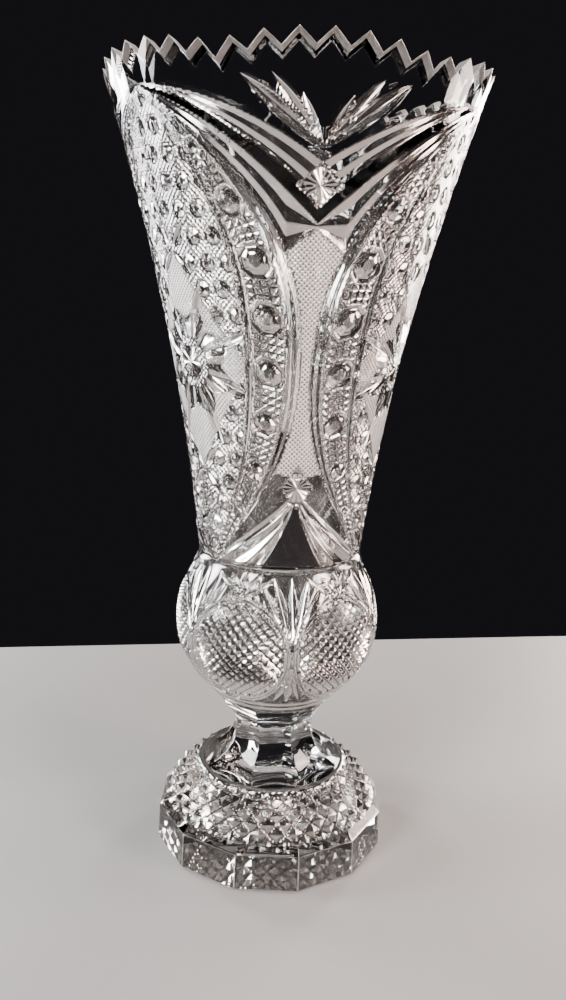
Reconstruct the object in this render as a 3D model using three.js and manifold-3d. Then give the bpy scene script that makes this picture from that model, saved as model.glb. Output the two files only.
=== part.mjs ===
// Cut crystal vase on a stemmed foot, in millimetres, +Z up, resting on Z = 0.
// The middle of one rim lobe, with its fan of cuts, faces -Y. Angles run from -Y towards +X.
// Pieces from the top down: flared bowl, bulb, collar, stem, foot.
import * as THREE from "three";
import { mergeVertices } from "three/addons/utils/BufferGeometryUtils.js";
import Module from "manifold-3d";

const wasm = await Module();
wasm.setup();

// ---- driving dimensions ----
const HEIGHT = 305;
const JOINT_GAP = 0.3;

// flared bowl
const WAIST_Z = 127;
const WAIST_RADIUS = 32.7;
const MID_CONTROL_RADIUS = 41.7;
const RIM_RADIUS = 70.7;
const BOWL_WALL = 6.6;
const RIM_LOBES = 6;
const TEETH_PER_LOBE = 7;
const TOOTH_DEPTH = 4.6;
const LOBE_DROP = 3.8;
const RIM_BEVEL = 2.4;
const RIM_BLEND = 14;
const BOWL_COLUMNS = 84;
const OUTSIDE_ROWS = 10;
const INSIDE_ROWS = 4;

// pointed oval panels on the bowl
const PANELS = 3;
const PANEL_BOTTOM_Z = 130;
const PANEL_WIDEST_Z = 202;
const PANEL_TOP_Z = 290;
const PANEL_HALF_ANGLE = 57;
const PANEL_ROUNDNESS = 2.35;
const PANEL_STEPS = 14;
const CUT_DEPTH = 1.5;
const CUT_HALF_WIDTH = 1.9;

// bulb
const BULB_COLUMNS = 60;
const BULB_RADIUS = 41.7;
const BULB_WIDEST_Z = 97;
const BULB_BOTTOM_Z = 64.3;
const BULB_WALL = 7;
const BULB_FLOOR_Z = 76;
const OVALS = 6;
const OVAL_HALF_ANGLE = 27;
const OVAL_HALF_HEIGHT = 20.5;
const OVAL_Z = 94.5;

// collar
const COLLAR_BOTTOM_Z = 57.3;
const COLLAR_TOP_RADIUS = 23.6;
const COLLAR_BOTTOM_RADIUS = 19;
const COLLAR_SIDES = 8;

// stem
const STEM_BOTTOM_Z = 34.3;
const STEM_BOTTOM_RADIUS = 29.4;
const STEM_NECK_RADIUS = 16.6;
const STEM_NECK_Z = 52;
const STEM_TOP_RADIUS = 18.4;
const STEM_FLUTES = 8;
const STEM_TURN = -4;
const FLUTE_DEPTH = 1.8;

// foot
const FOOT_CORNER_RADIUS = 48.6;
const FOOT_SIDES = 12;
const FOOT_TURN = -9;
const FOOT_WALL_Z = 15.5;
const FOOT_SHOULDER_Z = 18.6;
const FOOT_SHOULDER_RADIUS = 45.2;
const DOME_TOP_RADIUS = 30;
const DOME_TOP_Z = 34;
const DOME_DIAMONDS = 36;
const DOME_ROWS = 8;
const DIAMOND_HEIGHT = 1.1;

const RAD = Math.PI / 180;

// ---- small makers shared by the pieces ----
function crystal(tint) {
  return new THREE.MeshStandardMaterial({
    color: tint,
    roughness: 0.05,
    metalness: 0,
    transparent: true,
    opacity: 0.35,
  });
}

function named(name, geometry) {
  const mesh = new THREE.Mesh(geometry, crystal(0xeef2f2));
  mesh.name = name;
  return mesh;
}

// A profile of (radius, height) points turned about Z; the first point lies at azimuth 0, on -Y.
function turned(points, columns, startAngle = 0) {
  const geometry = new THREE.LatheGeometry(points, columns, startAngle * RAD);
  geometry.rotateX(Math.PI / 2);
  return geometry;
}

function welded(geometry) {
  const bare = geometry.clone();
  bare.deleteAttribute("normal");
  bare.deleteAttribute("uv");
  return mergeVertices(bare, 1e-4);
}

function toSolid(geometry) {
  const merged = welded(geometry);
  const triVerts = new Uint32Array(merged.index.array);
  const vertProperties = new Float32Array(merged.attributes.position.array);
  let solid = new wasm.Manifold(new wasm.Mesh({ numProp: 3, vertProperties, triVerts }));
  if (solid.volume() < 0) {
    for (let i = 0; i < triVerts.length; i += 3) {
      [triVerts[i + 1], triVerts[i + 2]] = [triVerts[i + 2], triVerts[i + 1]];
    }
    solid = new wasm.Manifold(new wasm.Mesh({ numProp: 3, vertProperties, triVerts }));
  }
  return solid;
}

function toGeometry(solid) {
  const mesh = solid.getMesh();
  const geometry = new THREE.BufferGeometry();
  const positions = new Float32Array(mesh.vertProperties);
  geometry.setAttribute("position", new THREE.BufferAttribute(positions, 3));
  geometry.setIndex(new THREE.BufferAttribute(new Uint32Array(mesh.triVerts), 1));
  geometry.computeVertexNormals();
  return geometry;
}

// Moves every point of a geometry by a rule given its azimuth in degrees, radius and height.
function reshape(geometry, rule) {
  const position = geometry.attributes.position;
  for (let i = 0; i < position.count; i += 1) {
    const x = position.getX(i);
    const y = position.getY(i);
    const azimuth = Math.atan2(x, -y) / RAD;
    const [radius, height] = rule(azimuth, Math.hypot(x, y), position.getZ(i));
    position.setXYZ(i, radius * Math.sin(azimuth * RAD), -radius * Math.cos(azimuth * RAD), height);
  }
  return geometry;
}

// Outside radius of the bowl, a parabola from the waist to the rim.
function bowlRadius(z) {
  const s = (z - WAIST_Z) / (HEIGHT - WAIST_Z);
  const middle = 2 * MID_CONTROL_RADIUS * s * (1 - s);
  return WAIST_RADIUS * (1 - s) ** 2 + middle + RIM_RADIUS * s * s;
}

// Outside curve of the bulb, from its foot ring over the widest line to the waist.
const bulbLower = new THREE.CubicBezierCurve(
  new THREE.Vector2(COLLAR_TOP_RADIUS, BULB_BOTTOM_Z),
  new THREE.Vector2(34.5, 76.5),
  new THREE.Vector2(BULB_RADIUS, 83),
  new THREE.Vector2(BULB_RADIUS, BULB_WIDEST_Z),
);
const bulbUpper = new THREE.CubicBezierCurve(
  new THREE.Vector2(BULB_RADIUS, BULB_WIDEST_Z),
  new THREE.Vector2(BULB_RADIUS, 112.6),
  new THREE.Vector2(34, 119),
  new THREE.Vector2(WAIST_RADIUS, WAIST_Z - JOINT_GAP),
);

function curveRadius(curve, z) {
  let low = 0;
  let high = 1;
  for (let i = 0; i < 30; i += 1) {
    const middle = (low + high) / 2;
    if (curve.getPoint(middle).y < z) {
      low = middle;
    } else {
      high = middle;
    }
  }
  return curve.getPoint(low).x;
}

function bulbRadius(z) {
  return curveRadius(z < BULB_WIDEST_Z ? bulbLower : bulbUpper, z);
}

// A V-shaped cutter laid along a line of (azimuth, height) points on a round body.
function cutAlong(line, closed, radiusAt) {
  const spots = line.map(([azimuth, z]) => {
    const radius = radiusAt(z);
    const a = azimuth * RAD;
    const slope = (radiusAt(z + 0.5) - radiusAt(z - 0.5)) / 1;
    const out = new THREE.Vector3(Math.sin(a), -Math.cos(a), -slope).normalize();
    return { at: new THREE.Vector3(radius * Math.sin(a), -radius * Math.cos(a), z), out };
  });
  const count = spots.length;
  const vertices = [];
  spots.forEach((spot, i) => {
    const before = spots[closed ? (i + count - 1) % count : Math.max(i - 1, 0)].at;
    const after = spots[closed ? (i + 1) % count : Math.min(i + 1, count - 1)].at;
    const along = after.clone().sub(before).normalize();
    const side = new THREE.Vector3().crossVectors(along, spot.out).normalize();
    const floor = spot.at.clone().addScaledVector(spot.out, -CUT_DEPTH);
    const top = spot.at.clone().addScaledVector(spot.out, CUT_DEPTH);
    vertices.push(floor);
    vertices.push(top.clone().addScaledVector(side, 2 * CUT_HALF_WIDTH));
    vertices.push(top.clone().addScaledVector(side, -2 * CUT_HALF_WIDTH));
  });
  const index = [];
  const spans = closed ? count : count - 1;
  for (let i = 0; i < spans; i += 1) {
    const a = 3 * i;
    const b = 3 * ((i + 1) % count);
    for (let k = 0; k < 3; k += 1) {
      const m = (k + 1) % 3;
      index.push(a + k, b + k, b + m);
      index.push(a + k, b + m, a + m);
    }
  }
  if (!closed) {
    const last = 3 * (count - 1);
    index.push(0, 1, 2);
    index.push(last, last + 2, last + 1);
  }
  const geometry = new THREE.BufferGeometry();
  const flat = vertices.flatMap((v) => [v.x, v.y, v.z]);
  geometry.setAttribute("position", new THREE.Float32BufferAttribute(flat, 3));
  geometry.setIndex(index);
  return toSolid(geometry);
}

// ---- flared bowl: open tube with a lobed saw-tooth rim and three pointed oval panels ----
function rimDrop(azimuth) {
  const lobe = 360 / RIM_LOBES;
  const tooth = lobe / TEETH_PER_LOBE;
  const inLobe = azimuth - lobe * Math.round(azimuth / lobe);
  const inTooth = Math.abs(inLobe - tooth * Math.round(inLobe / tooth)) / (tooth / 2);
  const fall = LOBE_DROP * Math.abs(inLobe / (lobe / 2)) ** 2;
  return fall + TOOTH_DEPTH * inTooth;
}

// Half the angle a pointed oval panel spans at a height: full at its widest line, nothing at its tips.
function panelHalfAngle(z) {
  const reach = z > PANEL_WIDEST_Z ? PANEL_TOP_Z - PANEL_WIDEST_Z : PANEL_WIDEST_Z - PANEL_BOTTOM_Z;
  return PANEL_HALF_ANGLE * (1 - Math.abs((z - PANEL_WIDEST_Z) / reach) ** PANEL_ROUNDNESS);
}

function bowlGeometry() {
  const outside = [];
  const inside = [];
  const foot = WAIST_Z + JOINT_GAP / 2;
  for (let i = 0; i <= OUTSIDE_ROWS; i += 1) {
    const z = foot + ((HEIGHT - RIM_BLEND - foot) * i) / OUTSIDE_ROWS;
    outside.push(new THREE.Vector2(bowlRadius(z), z));
  }
  for (let i = 0; i <= INSIDE_ROWS; i += 1) {
    const z = foot + ((HEIGHT - RIM_BLEND - foot) * i) / INSIDE_ROWS;
    inside.unshift(new THREE.Vector2(bowlRadius(z) - BOWL_WALL, z));
  }
  outside.push(new THREE.Vector2(RIM_RADIUS, HEIGHT));
  inside.unshift(new THREE.Vector2(RIM_RADIUS - BOWL_WALL, HEIGHT));
  const ring = [...outside, ...inside, outside[0].clone()];
  const blank = reshape(turned(ring, BOWL_COLUMNS), (azimuth, radius, z) => {
    const share = Math.max(0, (z - (HEIGHT - RIM_BLEND)) / RIM_BLEND);
    const bevel = radius < bowlRadius(z) - BOWL_WALL / 2 ? RIM_BEVEL : 0;
    const lowered = z - (rimDrop(azimuth) + bevel) * share;
    return [radius - bowlRadius(z) + bowlRadius(lowered), lowered];
  });
  let solid = toSolid(blank);
  for (let panel = 0; panel < PANELS; panel += 1) {
    const centre = 60 + (360 / PANELS) * panel;
    for (const side of [-1, 1]) {
      const line = [];
      for (let i = 0; i <= PANEL_STEPS; i += 1) {
        const z = PANEL_BOTTOM_Z + ((PANEL_TOP_Z - PANEL_BOTTOM_Z) * i) / PANEL_STEPS;
        line.push([centre + side * panelHalfAngle(z), z]);
      }
      solid = solid.subtract(cutAlong(line, false, bowlRadius));
    }
  }
  return toGeometry(solid);
}

// ---- bulb: hollow ball with a solid floor and six oval cuts round it ----
function bulbGeometry() {
  const profile = [new THREE.Vector2(0, BULB_BOTTOM_Z)];
  bulbLower.getPoints(7).forEach((point) => profile.push(point));
  bulbUpper.getPoints(6).slice(1).forEach((point) => profile.push(point));
  const top = profile[profile.length - 1];
  top.y = WAIST_Z - JOINT_GAP / 2;
  profile.push(new THREE.Vector2(WAIST_RADIUS - BOWL_WALL, top.y));
  const inner = new THREE.CubicBezierCurve(
    new THREE.Vector2(WAIST_RADIUS - BOWL_WALL, top.y),
    new THREE.Vector2(WAIST_RADIUS - BOWL_WALL, 115),
    new THREE.Vector2(BULB_RADIUS - BULB_WALL, 114),
    new THREE.Vector2(BULB_RADIUS - BULB_WALL, BULB_WIDEST_Z),
  );
  inner.getPoints(5).slice(1).forEach((point) => profile.push(point));
  const bowlFloor = new THREE.CubicBezierCurve(
    new THREE.Vector2(BULB_RADIUS - BULB_WALL, BULB_WIDEST_Z),
    new THREE.Vector2(BULB_RADIUS - BULB_WALL, 85),
    new THREE.Vector2(20, BULB_FLOOR_Z),
    new THREE.Vector2(0, BULB_FLOOR_Z),
  );
  bowlFloor.getPoints(5).slice(1).forEach((point) => profile.push(point));
  let solid = toSolid(turned(profile, BULB_COLUMNS));
  const steps = 18;
  for (let k = 0; k < OVALS; k += 1) {
    const centre = 30 + (360 / OVALS) * k;
    const line = [];
    for (let i = 0; i < steps; i += 1) {
      const turn = (2 * Math.PI * i) / steps;
      const z = OVAL_Z + OVAL_HALF_HEIGHT * Math.sin(turn);
      line.push([centre + OVAL_HALF_ANGLE * Math.cos(turn), z]);
    }
    solid = solid.subtract(cutAlong(line, true, bulbRadius));
  }
  return toGeometry(solid);
}

// ---- collar: eight-sided disc between bulb and stem ----
function collarGeometry() {
  const top = BULB_BOTTOM_Z - JOINT_GAP;
  const profile = [
    new THREE.Vector2(0, COLLAR_BOTTOM_Z),
    new THREE.Vector2(COLLAR_BOTTOM_RADIUS, COLLAR_BOTTOM_Z),
    new THREE.Vector2(COLLAR_BOTTOM_RADIUS + 2.6, COLLAR_BOTTOM_Z + 3.4),
    new THREE.Vector2(COLLAR_TOP_RADIUS, top),
    new THREE.Vector2(0, top),
  ];
  return toGeometry(toSolid(turned(profile, COLLAR_SIDES, STEM_TURN + 180 / COLLAR_SIDES)));
}

// ---- stem: waisted solid with hollow-ground flutes that spread down to the foot ----
function stemGeometry() {
  const top = COLLAR_BOTTOM_Z - JOINT_GAP;
  const side = new THREE.CubicBezierCurve(
    new THREE.Vector2(STEM_BOTTOM_RADIUS, STEM_BOTTOM_Z),
    new THREE.Vector2(17, 40.5),
    new THREE.Vector2(STEM_NECK_RADIUS - 1.4, STEM_NECK_Z - 4),
    new THREE.Vector2(STEM_TOP_RADIUS, top),
  );
  const profile = [new THREE.Vector2(0, STEM_BOTTOM_Z)];
  side.getPoints(10).forEach((point) => profile.push(point));
  profile.push(new THREE.Vector2(0, top));
  const blank = reshape(turned(profile, 6 * STEM_FLUTES, STEM_TURN), (azimuth, radius, z) => {
    const across = Math.cos((azimuth - STEM_TURN) * STEM_FLUTES * RAD);
    const share = Math.min(1, (z - STEM_BOTTOM_Z) / 5, (top - z) / 3);
    const cut = FLUTE_DEPTH * share * (0.5 + 0.5 * across);
    return [radius > 1 ? radius - cut : radius, z];
  });
  return toGeometry(toSolid(blank));
}

// ---- foot: twelve-sided plinth under a dome of raised diamonds ----
function footGeometry() {
  const half = 180 / FOOT_SIDES;
  const plinthProfile = [
    new THREE.Vector2(0, 0),
    new THREE.Vector2(FOOT_CORNER_RADIUS - 0.6, 0),
    new THREE.Vector2(FOOT_CORNER_RADIUS, 0.8),
    new THREE.Vector2(FOOT_CORNER_RADIUS - 0.6, FOOT_WALL_Z),
    new THREE.Vector2(FOOT_SHOULDER_RADIUS, FOOT_SHOULDER_Z),
    new THREE.Vector2(0, FOOT_SHOULDER_Z),
  ];
  const plinth = turned(plinthProfile, FOOT_SIDES, FOOT_TURN + half);
  const dome = [new THREE.Vector2(0, FOOT_WALL_Z)];
  const side = new THREE.QuadraticBezierCurve(
    new THREE.Vector2(43.4, FOOT_SHOULDER_Z - 0.4),
    new THREE.Vector2(40.4, 27),
    new THREE.Vector2(DOME_TOP_RADIUS, DOME_TOP_Z),
  );
  side.getPoints(DOME_ROWS).forEach((point) => dome.push(point));
  dome.push(new THREE.Vector2(0, DOME_TOP_Z));
  const cap = turned(dome, 2 * DOME_DIAMONDS, FOOT_TURN);
  const heights = side.getPoints(DOME_ROWS).map((point) => point.y);
  const studded = reshape(cap, (azimuth, radius, z) => {
    const row = heights.findIndex((height) => Math.abs(height - z) < 0.01);
    const inside = row > 0 && row < DOME_ROWS && radius > 1;
    const column = Math.round(((azimuth - FOOT_TURN) * DOME_DIAMONDS) / 180);
    const raised = inside && (row + column) % 2 === 0;
    return [radius + (raised ? DIAMOND_HEIGHT * 0.6 : 0), z + (raised ? DIAMOND_HEIGHT * 0.7 : 0)];
  });
  return toGeometry(toSolid(plinth).add(toSolid(studded)));
}

const vase = new THREE.Group();
vase.name = "cut_crystal_vase";
vase.add(named("flared_bowl", bowlGeometry()));
vase.add(named("bulb", bulbGeometry()));
vase.add(named("collar", collarGeometry()));
vase.add(named("stem", stemGeometry()));
vase.add(named("foot", footGeometry()));

export default vase;
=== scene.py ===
"""A tall cut crystal vase on a faceted foot, standing on a pale table top.

The vase is five pieces of lead crystal joined hot, one on the next: flared bowl, bulb, collar,
stem and foot. Formulas work in millimetres and degrees, with azimuth 0 on -Y growing towards +X,
and every mesh is written in metres about the vase's own axis.
"""

import math

import bpy
import mathutils
import numpy as np
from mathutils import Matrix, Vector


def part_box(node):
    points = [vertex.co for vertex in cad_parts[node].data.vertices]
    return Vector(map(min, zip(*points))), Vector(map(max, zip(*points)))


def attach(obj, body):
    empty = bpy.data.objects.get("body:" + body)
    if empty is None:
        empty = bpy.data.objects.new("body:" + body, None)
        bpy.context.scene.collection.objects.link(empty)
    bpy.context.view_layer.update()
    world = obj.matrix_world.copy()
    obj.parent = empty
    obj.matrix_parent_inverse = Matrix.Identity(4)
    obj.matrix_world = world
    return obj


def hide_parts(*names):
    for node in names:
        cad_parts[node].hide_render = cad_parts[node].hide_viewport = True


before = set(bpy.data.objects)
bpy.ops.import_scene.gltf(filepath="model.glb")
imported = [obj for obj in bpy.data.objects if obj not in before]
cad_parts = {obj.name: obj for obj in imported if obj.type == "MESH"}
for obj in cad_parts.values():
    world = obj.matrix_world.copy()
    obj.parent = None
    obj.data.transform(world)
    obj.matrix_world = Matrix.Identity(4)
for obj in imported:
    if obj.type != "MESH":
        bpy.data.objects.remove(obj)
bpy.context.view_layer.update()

# ---- Flared bowl ----
# The tall open body, blown thick in colourless lead crystal and cut by wheel all over the outside:
# three pointed oval panels of buttons and stars, with fans, chevrons and fine hatching between.
# Its rim is notched into six lobes of seven teeth, and its waist is joined hot to the bulb.

MM = 0.001

bowl_low, bowl_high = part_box("flared_bowl")
bowl_bottom = bowl_low[2] / MM
bowl_top = bowl_high[2] / MM
waist_radius = 32.7
rim_radius = 70.7
rim_bevel = 2.4
bowl_wall = 6.6
bowl_columns = 420
bowl_outside_rows = 212
bowl_inside_rows = 12
rim_blend = 14.0
panel_middle = 202
panel_up = 90.0
panel_down = 76.0
panel_gap = 2.4
panel_bend = 2.35
fan_foot = 273.5
high_star = 262.0
low_star = 159.5
button_pitch = 19
small_rise = 8.6
small_step = 8.4
small_radius = 2.6
hatch_pitch = 1.75


def wave(x):
    """A zigzag: 0 at whole numbers, rising straight to 1 halfway between them."""
    return 1 - np.abs(2 * (x - np.floor(x)) - 1)


def ramp(x, low, high):
    """A straight rise from 0 at low to 1 at high, level beyond both."""
    return np.clip((x - low) / (high - low), 0, 1)


def between(x, low, high):
    """1 where low < x < high, 0 elsewhere."""
    return ((x > low) & (x < high)).astype(float)


def leaf(x, y, tip_x, tip_y, half_width):
    """One leaf-shaped cut from the origin to its tip, its half width following a sine along the
    line. Gives in mm how far inside its edge a point lies (below 0 outside), its signed distance
    from the middle line, and the half width beside it."""
    length = math.hypot(tip_x, tip_y)
    along = (x * tip_x + y * tip_y) / length
    across = (x * tip_y - y * tip_x) / length
    past = np.maximum(np.maximum(-along, along - length), 0)
    half = half_width * np.sin(np.pi * np.clip(along / length, 0, 1))
    return half - np.hypot(across, past), across, half - past


def add_leaf(kept, cut, where=True):
    """Keeps, at every point, the three numbers of whichever leaf it lies deepest in."""
    deeper = (cut[0] > kept[0]) & where
    return [np.where(deeper, new, old) for new, old in zip(cut, kept)]


def trough(kept):
    """Depth in mm of the leaf kept at each point: a parabola across it, deepest on its middle
    line, where it is 0.4 times the half width."""
    half = np.maximum(kept[2], 0.05)
    return 0.4 * half * np.clip(1 - (kept[1] / half) ** 2, 0, 1) * (kept[0] > 0)


def facet_distance(x, y, sides):
    """Distance from the origin measured square to the nearest side of an even polygon."""
    reach = np.zeros_like(x)
    for k in range(sides // 2):
        a = 2 * math.pi * k / sides
        reach = np.maximum(reach, np.abs(x * math.cos(a) + y * math.sin(a)))
    return reach


def phi_count(x, y, count):
    """The angle round the origin from +Y, counted in parts of a circle."""
    return np.arctan2(x, y) / (2 * math.pi) * count


def bowl_radius(z):
    """A parabola in height: the waist radius, plus 18 mm times the share of the height, plus the
    rest of the way to the rim times that share squared."""
    share = (z - 127) / 178
    return waist_radius + 18 * share + (rim_radius - waist_radius - 18) * share**2


def rim_drop(azimuth):
    """How far the rim lies below its highest tooth: a square law falling to 3.8 mm at each end of
    a 60 degree lobe, plus a zigzag of seven 4.6 mm teeth to the lobe."""
    in_lobe = azimuth - 60 * np.round(azimuth / 60)
    tooth = 60 / 7
    in_tooth = np.abs(in_lobe - tooth * np.round(in_lobe / tooth)) / (tooth / 2)
    return 3.8 * (in_lobe / 30) ** 2 + 4.6 * in_tooth


def bowl_cuts(azimuth, z):
    """The cutting on the bowl from azimuth and height, as named numbers at every point.

    m is the angle from the middle of the nearest fan, 0 to 60. Each panel's edge lies at the gap
    plus the rest of the 60 degrees times |dz / reach| ^ panel_bend, where dz is the height above
    the panel's widest line and reach is how far the panel goes up or down from it.
    t is the place across a panel, 0 on its axis and 1 on its edge. Every long V cut is a count
    fold, whole at its edges and a half in its middle, with its depth in mm as span.
    """
    turn = (azimuth + 60) % 120 - 60
    m = np.abs(turn)
    per_degree = bowl_radius(z) * math.pi / 180
    x_fan = m * per_degree
    zero = np.zeros_like(z)

    # the panel's own coordinates
    dz = z - panel_middle
    reach = np.where(dz > 0, panel_up, panel_down)
    share = np.clip(np.abs(dz) / reach, 0, 1)
    half_panel = 60 - panel_gap
    edge_m = panel_gap + half_panel * share**panel_bend
    edge_slope = half_panel * panel_bend * share ** (panel_bend - 1) / reach * np.sign(dz)
    width = 60 - edge_m
    in_panel = between(z, 126.2, 291.8) * (width > 0.4)
    t = np.where(in_panel > 0, (60 - m) / np.maximum(width, 0.4), 9.0)
    widening = 0.214 + 0.226 * np.clip((z - 127) / 178, 0, 1)
    lean = (-edge_slope * per_degree + width * widening * math.pi / 180) * 0.8
    cosine = 1 / np.sqrt(1 + lean**2)
    band = width * per_degree * cosine
    outside = t > 1

    # chevron bands that sweep from the panel tips to the middle of the fan
    away = 1 - m / 60
    top_a = 269 + 23 * (1 - away**1.7)
    top_b = 256.5 + 36 * (1 - away**1.5)
    top_c = 250.5 + 40.5 * (1 - away**1.45)
    edge_share = (np.clip(m - panel_gap, 0, None) / half_panel) ** (1 / panel_bend)
    edge_z = panel_middle + panel_up * edge_share
    low_c = np.maximum(edge_z, 249 - 0.7 * m)
    across_a = np.clip((z - top_b) / np.maximum(top_a - top_b, 0.05), 0, 1)
    across_c = np.clip((z - low_c) / np.maximum(top_c - low_c, 0.05), 0, 1)
    fold = 2 + np.where(outside, 2 * across_c + 2 * across_a, 0.0)
    span = zero.copy()
    for across, tall in ((across_a, top_a - top_b), (across_c, top_c - low_c)):
        here = outside & (across > 0) & (across < 1)
        span = np.where(here, np.minimum(0.14 * tall, 1.1), span)

    # the fan above: three leaves a side from one point
    leaves = [zero - 2, zero, zero - 2]
    for tip_m, tip_z, half in ((24, 292.7, 2.2), (15.5, 293.0, 1.7), (7.0, 288.0, 1.1)):
        cut = leaf(x_fan, z - fan_foot, tip_m * 1.16, tip_z - fan_foot, half)
        leaves = add_leaf(leaves, cut, outside)

    # below, crescents that spread from a star to the panels' lower tips
    curves = (
        159 - 33 * (m / 60) ** 0.85,
        159 - 33 * (m / 60) ** 0.6,
        159 - 33 * (m / 37) ** 0.55,
        159 - 33 * (m / 22) ** 0.6,
    )
    lower = outside & (z < 163)
    fold = np.where(lower, 2.0, fold)
    span = np.where(lower, 0.0, span)
    for k, (high, low) in enumerate(zip(curves[:-1], curves[1:])):
        across = np.clip((high - z) / np.maximum(high - low, 0.05), 0, 1)
        fold = np.where(lower & (z < high), 2 + k + across, fold)
        here = lower & (z < high) & (z > low)
        span = np.where(here, np.minimum(0.36 * (high - low) * 0.7, 1.8), span)

    # the panel's edge: two nested crescents, then a second pair further in
    for start, stop, base in ((0.88, 1.0, 0), (0.56, 0.63, -2)):
        here = between(t, start, stop) > 0
        fold = np.where(here, base + 2 * (t - start) / (stop - start), fold)
        span = np.where(here, 0.4 * 0.5 * (stop - start) * band, span)
    fold = np.where(between(t, 0.63, 0.88) > 0, 0.0, fold)
    fold = np.where(t <= 0.56, -2.0, fold)
    span = np.where(t <= 0.56, 0.0, np.where(between(t, 0.63, 0.88) > 0, 0.0, span))
    depth = np.where(span > 1.1, 0.4, 0.12) * span * wave(fold)
    silver = np.where(lower & (span > 0.15), 0.55, 0.0)
    silver = np.where(between(t, 0.56, 0.63) + between(t, 0.88, 1.0) > 0, 0.25, silver)
    clear = lower & (z < curves[-1])

    # stars where the bands meet on the middle line
    stars = zero.copy()
    px = np.where(turn > 0, x_fan, -x_fan)
    py = np.where(z < 210, z - low_star, z - high_star)
    for star_z, wide, high in ((high_star, 7.5, 6.5), (low_star, 6.0, 8.5)):
        here = (x_fan / wide + np.abs(z - star_z) / high < 1) & outside
        stars = np.where(here, 1.0, stars)
        silver = np.where(here, 0.55, silver)
        span = np.where(here, 0.0, span)
        fold = np.where(here, 2.0, fold)
        depth = np.where(here, 0.2, depth)
    size = 1 + zero

    # fine hatching in the waisted field between two panels
    field = outside & (z < np.minimum(low_c, 253)) & (z > 163 + 0.15 * m) & (m < 30)
    hatch = np.where(field, 1.0, 0.0)
    depth = np.where(field, 0.15, depth)
    silver = np.where(field, 0.64, silver)
    span = np.where(field, 0.0, span)
    u = (x_fan + z) / hatch_pitch
    v = (x_fan - z) / hatch_pitch

    # the band of buttons, 19 mm apart along its middle line, with stars between
    heights = np.linspace(120, 300, 721)
    run = np.interp(heights, z[:, 0], lean[:, 0])
    length = np.cumsum(np.sqrt(1 + run**2)) * 0.25
    length -= np.interp(201, heights, length)
    x = (t - 0.755) * band
    along = np.interp(z, heights, length) + (t - 0.755) * width * per_degree * lean * cosine
    along = along / button_pitch
    in_band = between(t, 0.63, 0.88) > 0
    button_size = np.clip(0.1 * band, 0.3, 4.5)
    near = facet_distance(x, button_pitch * (along - np.round(along)), 8) / button_size
    bevel = ramp(near, 0.45, 1) - ramp(near, 1, 1.4)
    depth = np.where(in_band, -0.45 + 1.1 * bevel, depth)
    silver = np.where(in_band, 0.62, silver)

    # the middle of the panel: a star in a hatched kite, small buttons above and below it, and
    # long leaves across both
    middle = t <= 0.56
    xm = (60 - m) * per_degree * np.sign(turn)
    ym = z - 203
    rho = np.hypot(xm, ym)
    point = wave(phi_count(xm, ym, 8))
    in_kite = middle & (np.abs(xm) / 26 + np.abs(ym) / 38 < 1)
    in_star = in_kite & (rho < 21 - 6 * (1 - point))
    kite = in_kite & ~in_star
    small = middle & ~in_kite
    depth = np.where(in_star, 0.1 + 0.035 * rho * wave(phi_count(xm, ym, 16)), depth)
    row = ym / small_rise
    column = xm / small_step - row / 2
    past_row = row - np.round(row)
    bx = small_step * (column - np.round(column)) + small_step / 2 * past_row
    near = facet_distance(bx, small_rise * past_row, 8) / small_radius
    button = -0.35 + 0.7 * (ramp(near, 0.35, 1) - ramp(near, 1, 1.5))
    depth = np.where(kite, 0.1, np.where(small, button, depth))
    long_leaves = [(0, 0, 8, 11, 32, 1.9), (0, 39, 4, 1, 13, 1.3), (0, -39, 4, 1, 13, 1.3)]
    for x0, y0, count, start, stop, half in long_leaves:
        for k in range(count):
            a = 2 * math.pi * (k + 0.5) / count
            sx, sy = math.sin(a), math.cos(a)
            run = stop - start
            cut = leaf(xm - x0 - start * sx, ym - y0 - start * sy, run * sx, run * sy, half)
            leaves = add_leaf(leaves, cut, middle)
    depth = np.where(leaves[0] > 0, 0.1 + trough(leaves), depth)
    silver = np.where(in_star, 0.55, np.where(kite, 0.54, np.where(small, 0.5, silver)))
    hatch = np.where(kite, 1.0, hatch)
    stars = np.where(in_star, 1.0, stars)
    u = np.where(middle, (xm + ym) / hatch_pitch, u)
    v = np.where(middle, (xm - ym) / hatch_pitch, v)
    px = np.where(in_band, x, np.where(small, column, np.where(middle, xm, px)))
    py = np.where(in_band, along, np.where(small, row, np.where(middle, ym, py)))
    size = np.where(in_band, button_size, np.where(small, small_radius, size))

    # a bevel at the waist, where the joint with the bulb shows as a ring
    depth = np.maximum(depth, np.clip(0.7 * (128.6 - z), 0, 1.0))
    return {
        "depth": depth,
        "silver": silver,
        "fold": fold,
        "span": span,
        "clear": clear.astype(float),
        "hatch": hatch,
        "hatch_u": u,
        "hatch_v": v,
        "place_x": px,
        "place_y": py,
        "size": size,
        "band": in_band.astype(float),
        "small": small.astype(float),
        "star": stars,
        "leaf": np.maximum(leaves[0], -2),
        "leaf_across": leaves[1],
        "leaf_half": leaves[2],
        "dull": hatch.copy(),
    }


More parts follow.
